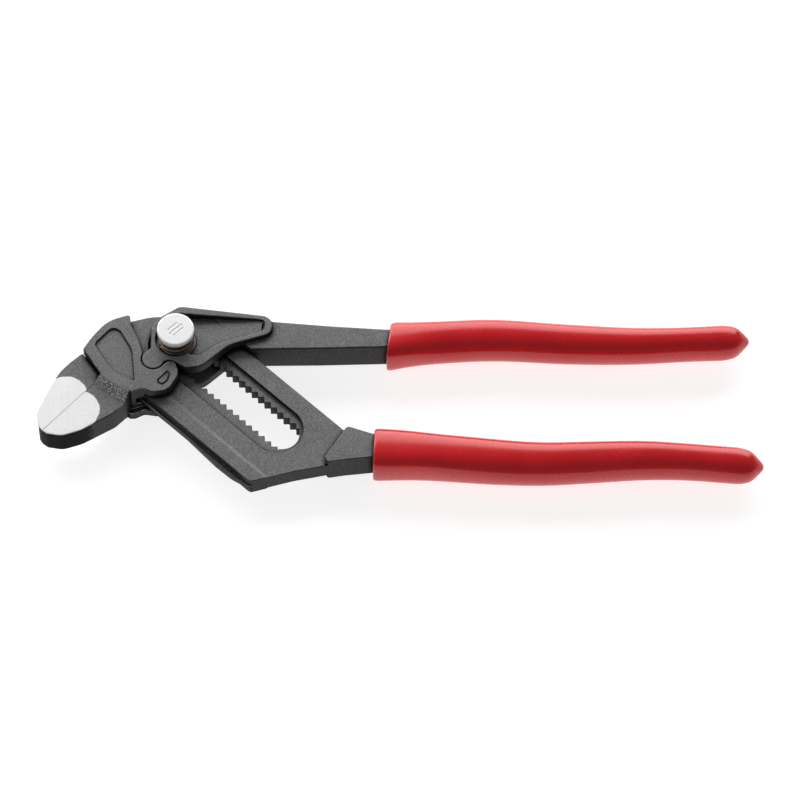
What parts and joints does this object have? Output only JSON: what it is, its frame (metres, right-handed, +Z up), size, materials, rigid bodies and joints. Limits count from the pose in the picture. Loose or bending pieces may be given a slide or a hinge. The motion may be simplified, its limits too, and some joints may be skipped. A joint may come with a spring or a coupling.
{
  "type": "push-button adjustable pliers",
  "caption": "Adjustable gripping pliers with smooth parallel jaws, a toothed slot with a push-button bolt to set the jaw width, and dipped handle sleeves.",
  "frame": {"origin": "under the middle of the tool's outline, on the surface it lies on", "axes": "+X along the handles towards their ends, +Y across them towards the button's handle, +Z up through the button"},
  "size_m": [0.2492, 0.0674, 0.0222],
  "materials": {
    "dark_steel": "dark burnished forging, satin",
    "bolt_steel": "turned, satin",
    "bright_steel": "satin bright",
    "spring_steel": "drawn wire, brown tint",
    "red_sleeve": "glossy dipped plastic"
  },
  "bodies": {
    "fixed_lever": {"fixed_jaw_lever": "dark_steel", "lower_grip_sleeve": "red_sleeve"},
    "bolt_seat": {"spring_seat": "bolt_steel", "button_spring": "spring_steel"},
    "moving_handle": {"moving_lever": "dark_steel", "upper_grip_sleeve": "red_sleeve"},
    "slide_jaw": {"sliding_jaw": "dark_steel"},
    "button": {"hinge_bolt": "bolt_steel", "push_button": "bright_steel"}
  },
  "joints": [
    {"name": "setting", "type": "slide", "parent": "fixed_lever", "child": "bolt_seat", "axis": [0.7278, -0.6858, 0], "range_m": [0, 0.0366]},
    {"name": "squeeze", "type": "hinge", "parent": "bolt_seat", "child": "moving_handle", "pos_m": [-0.07742, 0.02136, 0.008], "axis": [0, 0, 1], "range_deg": [0, 24]},
    {"name": "jaw_travel", "type": "slide", "parent": "bolt_seat", "child": "slide_jaw", "axis": [0.7278, -0.6858, 0], "range_m": [0, 0.0047]},
    {"name": "press", "type": "slide", "parent": "bolt_seat", "child": "button", "axis": [0, 0, -1], "range_m": [0, 0.0033], "stiffness_N_per_m": 1200, "springref_m": -0.003, "deforming": ["button_spring"]}
  ],
  "couplings": [
    {"joint": "jaw_travel", "follows": "squeeze", "m_per_rad": 0.01107}
  ]
}
